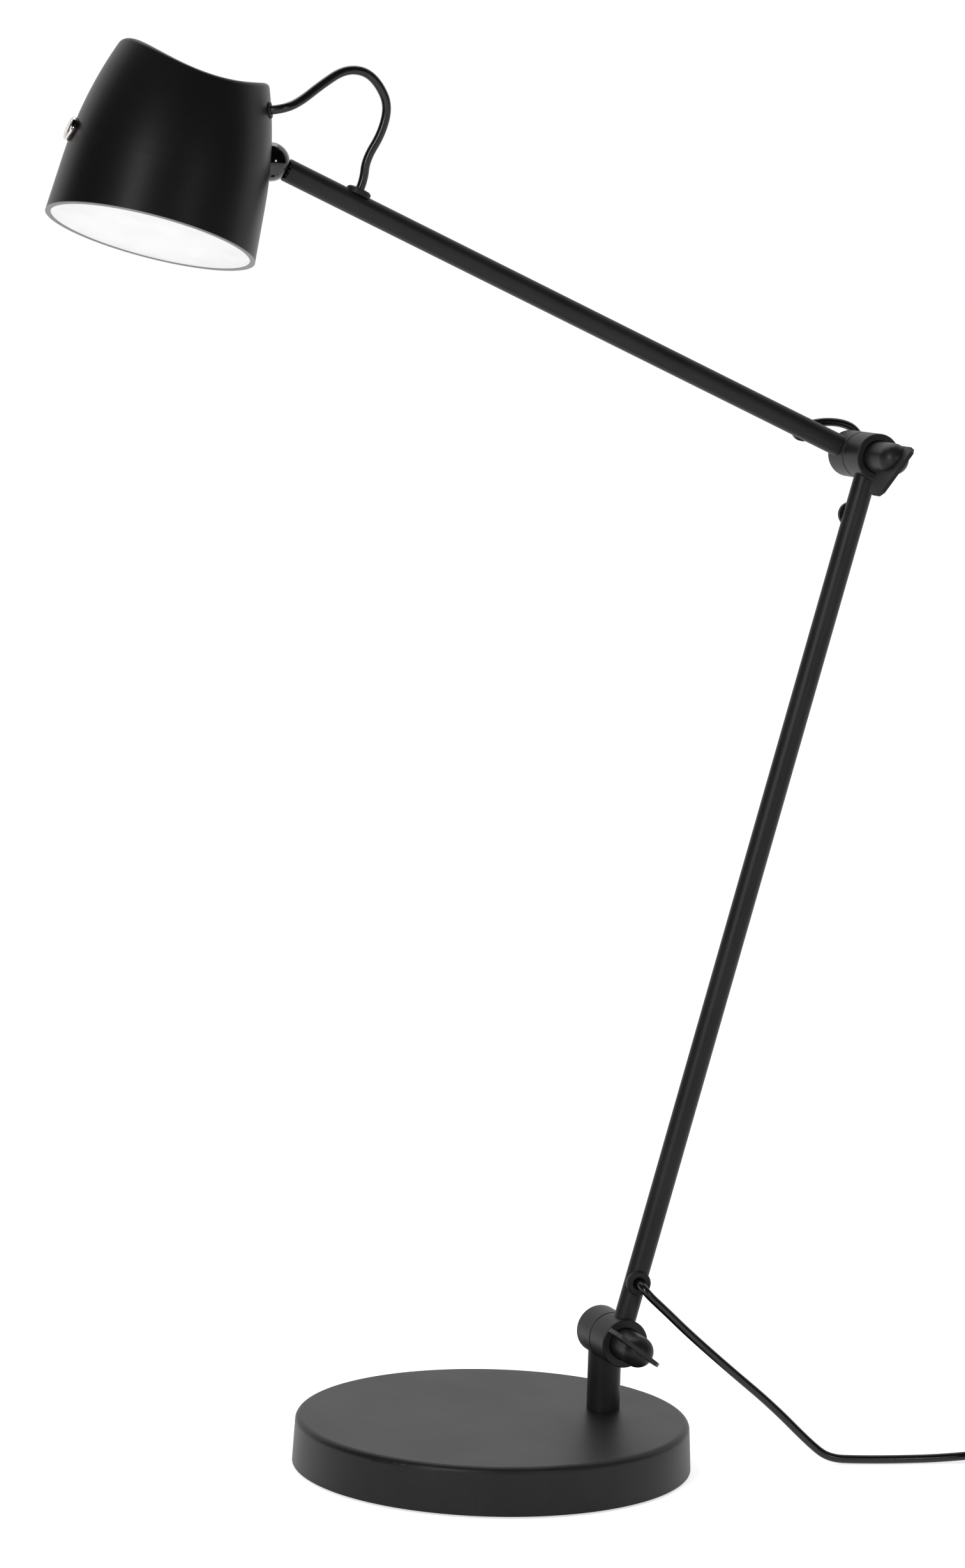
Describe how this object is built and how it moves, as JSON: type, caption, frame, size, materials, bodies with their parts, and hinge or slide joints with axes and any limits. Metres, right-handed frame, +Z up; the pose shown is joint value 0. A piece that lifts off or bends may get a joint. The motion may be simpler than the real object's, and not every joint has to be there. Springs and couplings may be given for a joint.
{
  "type": "desk lamp",
  "caption": "Black two-arm desk lamp with a heavy round base, wing-knob friction joints, a short tapered shade on a ball joint, a small switch cap and a mains cord",
  "frame": {"origin": "centre of the round base, on the surface it stands on", "axes": "+Z up; +X towards the side the lower arm leans to, the shade hangs out over -X; +Y to the back, the wing knobs face -Y"},
  "size_m": [0.6066, 0.2395, 0.7509],
  "materials": {
    "black_powder_coat": "satin black powder coat with a fine speckle",
    "cast_iron": "sawn and blackened",
    "zinc_steel": "zinc plated",
    "black_rubber": "matte",
    "grey_fibre": "pressed fibre",
    "black_plastic": "matte moulded",
    "brass": "turned",
    "gloss_black_ball": "gloss black",
    "cord_vinyl": "smooth black vinyl",
    "opal_acrylic": "opal white, evenly lit",
    "white_reflector": "white",
    "board_laminate": "white solder mask",
    "led_phosphor": "yellow phosphor",
    "bare_aluminium": "cast, bead blasted",
    "chrome": "polished"
  },
  "bodies": {
    "base": {"base_cover": "black_powder_coat", "ballast_disc": "cast_iron", "base_plate": "zinc_steel", "base_pad": "black_rubber", "plate_screws": "zinc_steel", "post_screw": "zinc_steel", "post": "black_powder_coat", "lower_back_barrel": "black_powder_coat", "lower_hinge_bolt": "zinc_steel", "lower_friction_washer": "grey_fibre", "mains_cord": "cord_vinyl", "cord_coil": "cord_vinyl", "cord_tail": "cord_vinyl", "cord_tie": "black_plastic", "plug_body": "cord_vinyl", "plug_pins": "brass"},
    "lower_knob_set": {"lower_knob": "black_plastic", "lower_knob_insert": "brass"},
    "lower_arm": {"lower_front_barrel": "black_powder_coat", "lower_spring_washer": "zinc_steel", "lower_arm_tube": "black_powder_coat", "mains_grommet": "black_rubber", "elbow_grommet_low": "black_rubber", "lower_arm_lead": "cord_vinyl", "elbow_front_barrel": "black_powder_coat", "elbow_spring_washer": "zinc_steel", "elbow_lead": "cord_vinyl"},
    "upper_arm": {"elbow_back_barrel": "black_powder_coat", "elbow_hinge_bolt": "zinc_steel", "elbow_friction_washer": "grey_fibre", "upper_arm_tube": "black_powder_coat", "elbow_grommet_top": "black_rubber", "head_grommet": "black_rubber", "upper_arm_lead": "cord_vinyl", "arm_end_plug": "black_plastic", "head_lead_low": "cord_vinyl"},
    "elbow_knob_set": {"elbow_knob": "black_plastic", "elbow_knob_insert": "brass"},
    "ball_joint": {"ball_stud": "zinc_steel", "head_ball": "gloss_black_ball", "pressure_cup": "zinc_steel", "disc_springs": "zinc_steel", "lock_nut": "zinc_steel"},
    "head": {"shade": "black_powder_coat", "shade_grommet": "black_rubber", "diffuser": "opal_acrylic", "reflector": "white_reflector", "led_board": "board_laminate", "led_chips": "led_phosphor", "heat_sink": "bare_aluminium", "mount_ring": "bare_aluminium", "heat_sink_screws": "zinc_steel", "driver": "board_laminate", "switch_bezel": "chrome", "switch_spring": "zinc_steel", "switch_body": "black_plastic", "socket_seat": "black_plastic", "head_lead_high": "cord_vinyl", "head_lead_inside": "cord_vinyl"},
    "switch_cap": {"switch_button": "chrome"}
  },
  "joints": [
    {"name": "lower_tilt", "type": "hinge", "parent": "base", "child": "lower_arm", "pos_m": [0.0643, 0, 0.0684], "axis": [0, 1, 0], "range_deg": [-45, 45], "deforming": ["mains_cord"]},
    {"name": "lower_knob_turn", "type": "hinge", "parent": "base", "child": "lower_knob_set", "pos_m": [0.0643, 0, 0.0684], "axis": [0, 1, 0], "range_deg": [-45, 270]},
    {"name": "elbow_tilt", "type": "hinge", "parent": "lower_arm", "child": "upper_arm", "pos_m": [0.19508, 0, 0.54415], "axis": [0, 1, 0], "range_deg": [-53, 80], "deforming": ["elbow_lead"]},
    {"name": "elbow_knob_turn", "type": "hinge", "parent": "upper_arm", "child": "elbow_knob_set", "pos_m": [0.19508, 0, 0.54415], "axis": [0, 1, 0], "range_deg": [-45, 270]},
    {"name": "head_swivel", "type": "hinge", "parent": "upper_arm", "child": "ball_joint", "pos_m": [-0.14088, 0, 0.69114], "axis": [-0.9162, 0, 0.4008], "range_deg": [-60, 60], "deforming": ["head_lead_low"]},
    {"name": "head_tilt", "type": "hinge", "parent": "ball_joint", "child": "head", "pos_m": [-0.14088, 0, 0.69114], "axis": [0.0489, 0.9872, -0.152], "range_deg": [-15, 50], "deforming": ["head_lead_high"]},
    {"name": "switch_press", "type": "slide", "parent": "head", "child": "switch_cap", "axis": [0.9228, -0.1029, -0.3713], "range_m": [0, 0.0008], "stiffness_N_per_m": 800, "deforming": ["switch_spring"]}
  ]
}
